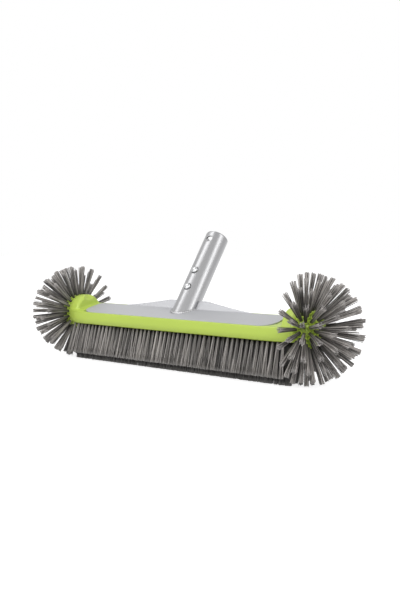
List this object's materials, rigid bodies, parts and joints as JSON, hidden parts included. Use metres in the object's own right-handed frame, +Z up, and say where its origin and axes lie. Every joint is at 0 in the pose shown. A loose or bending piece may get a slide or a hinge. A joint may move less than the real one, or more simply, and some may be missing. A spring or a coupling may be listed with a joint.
{
  "type": "pool wall brush",
  "caption": "Wide pool wall brush: moulded body with bristle rows, a radial bristle ball at each end, a bent metal back plate and a leaning handle tube with sprung snap buttons.",
  "frame": {"origin": "on the floor plane, under the middle of the centre bristle row", "axes": "+X along the brush from ball to ball, +Y to the back, the way the handle leans, +Z up from the bristle tips to the plate"},
  "size_m": [0.444, 0.1523, 0.162],
  "materials": {
    "lime_plastic": "satin injection-moulded plastic",
    "satin_plate": "satin anodised sheet",
    "drawn_tube": "drawn tube, fine lengthwise lines",
    "weld_metal": "rippled weld bead",
    "spring_steel": "bright spring strip",
    "button_steel": "polished dome",
    "zinc_steel": "zinc plated",
    "grey_nylon": "thick nylon filaments"
  },
  "bodies": {
    "brush": {"brush_body": "lime_plastic", "back_plate": "satin_plate", "handle_tube": "drawn_tube", "weld_bead_front": "weld_metal", "weld_bead_left": "weld_metal", "weld_bead_right": "weld_metal", "clip_bend": "spring_steel", "plate_screw_1": "zinc_steel", "plate_screw_2": "zinc_steel", "plate_screw_3": "zinc_steel", "plate_screw_4": "zinc_steel", "plate_nut_1": "zinc_steel", "plate_nut_2": "zinc_steel", "plate_nut_3": "zinc_steel", "plate_nut_4": "zinc_steel", "bristle_row_front": "grey_nylon", "bristle_row_front_inner": "grey_nylon", "bristle_row_centre": "grey_nylon", "bristle_row_rear_inner": "grey_nylon", "bristle_row_rear": "grey_nylon", "ball_left_ring_1": "grey_nylon", "ball_left_ring_2": "grey_nylon", "ball_left_ring_3": "grey_nylon", "ball_left_ring_4": "grey_nylon", "ball_left_ring_5": "grey_nylon", "ball_left_ring_6": "grey_nylon", "ball_left_ring_7": "grey_nylon", "ball_right_ring_1": "grey_nylon", "ball_right_ring_2": "grey_nylon", "ball_right_ring_3": "grey_nylon", "ball_right_ring_4": "grey_nylon", "ball_right_ring_5": "grey_nylon", "ball_right_ring_6": "grey_nylon", "ball_right_ring_7": "grey_nylon"},
    "front_leg": {"clip_leg_front": "spring_steel", "snap_button_front_lower": "button_steel", "snap_button_front_upper": "button_steel"},
    "rear_leg": {"clip_leg_rear": "spring_steel", "snap_button_rear_lower": "button_steel", "snap_button_rear_upper": "button_steel"}
  },
  "joints": [
    {"name": "front_buttons_press", "type": "hinge", "parent": "brush", "child": "front_leg", "pos_m": [0, 0.05456, 0.13614], "axis": [1, 0, 0], "range_deg": [0, 6], "stiffness_Nm_per_rad": 3, "springref_deg": -2.86},
    {"name": "rear_buttons_press", "type": "hinge", "parent": "brush", "child": "rear_leg", "pos_m": [0, 0.07119, 0.12252], "axis": [-1, 0, 0], "range_deg": [0, 6], "stiffness_Nm_per_rad": 3, "springref_deg": -2.86}
  ]
}
